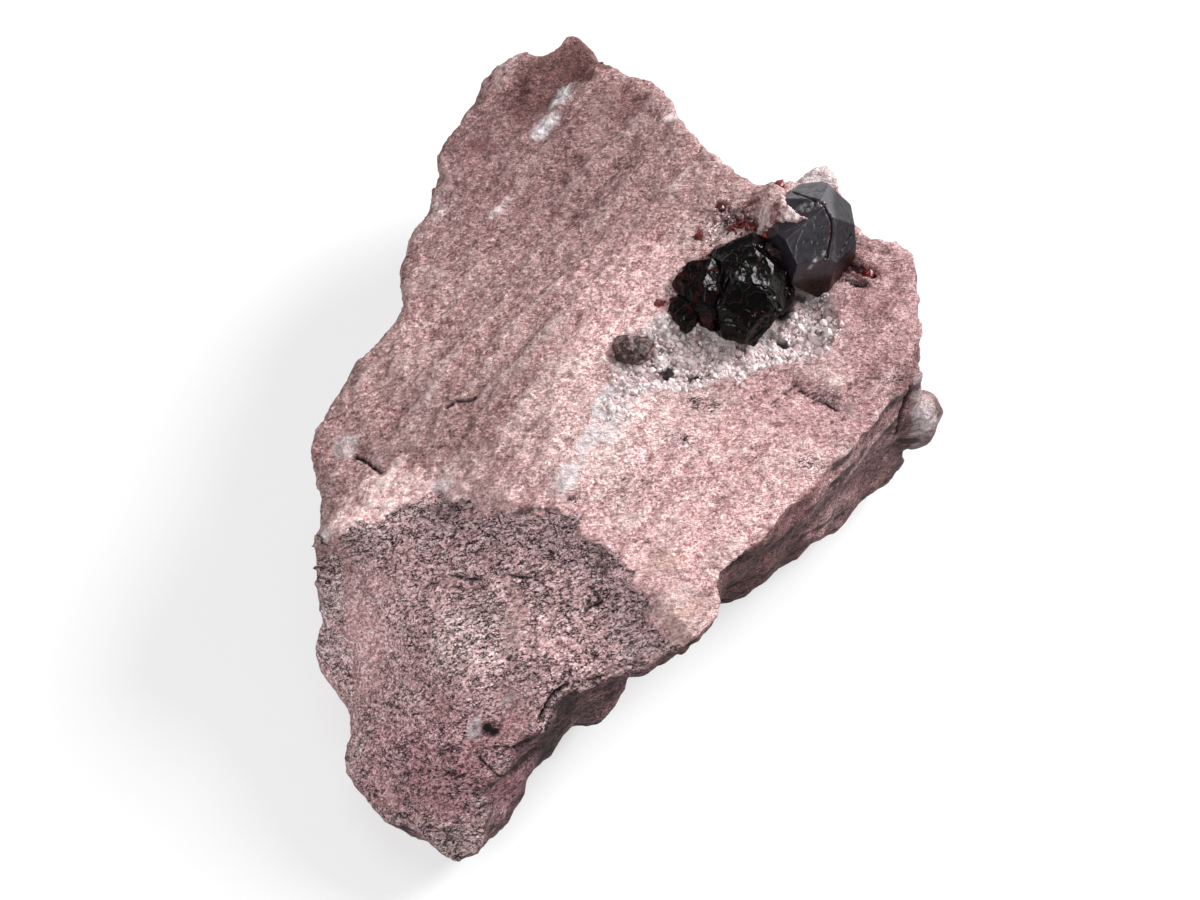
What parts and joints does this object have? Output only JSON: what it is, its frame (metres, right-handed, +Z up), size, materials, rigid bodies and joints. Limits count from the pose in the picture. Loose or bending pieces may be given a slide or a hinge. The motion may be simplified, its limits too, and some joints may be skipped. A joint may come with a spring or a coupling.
{
  "type": "garnet in matrix",
  "caption": "Broken piece of pink volcanic rock with dark faceted garnets standing in a shallow, quartz-lined pocket on its broad upper face.",
  "frame": {"origin": "middle of the specimen's box, on the flat face it rests on", "axes": "+Z up, square to the resting face; +Y along the rock towards its far tip; +X across it, towards the large faceted garnet"},
  "size_m": [0.0628, 0.0842, 0.0317],
  "materials": {
    "rhyolite": "rough broken volcanic rock, pink with darker and paler patches",
    "dark_garnet": "glossy near-black crystal, satin on the grown faces",
    "brown_garnet": "dark brown, satin",
    "red_garnet": "glossy deep red",
    "quartz": "sugary grey-white small crystals"
  },
  "bodies": {
    "root": {"matrix": "rhyolite", "garnet_crystals": "dark_garnet", "small_garnet": "brown_garnet", "garnet_grain_1": "red_garnet", "garnet_grain_2": "red_garnet", "garnet_grain_3": "red_garnet", "garnet_grain_4": "red_garnet", "garnet_grain_5": "red_garnet", "garnet_grain_6": "red_garnet", "quartz_crust": "quartz"}
  },
  "joints": []
}
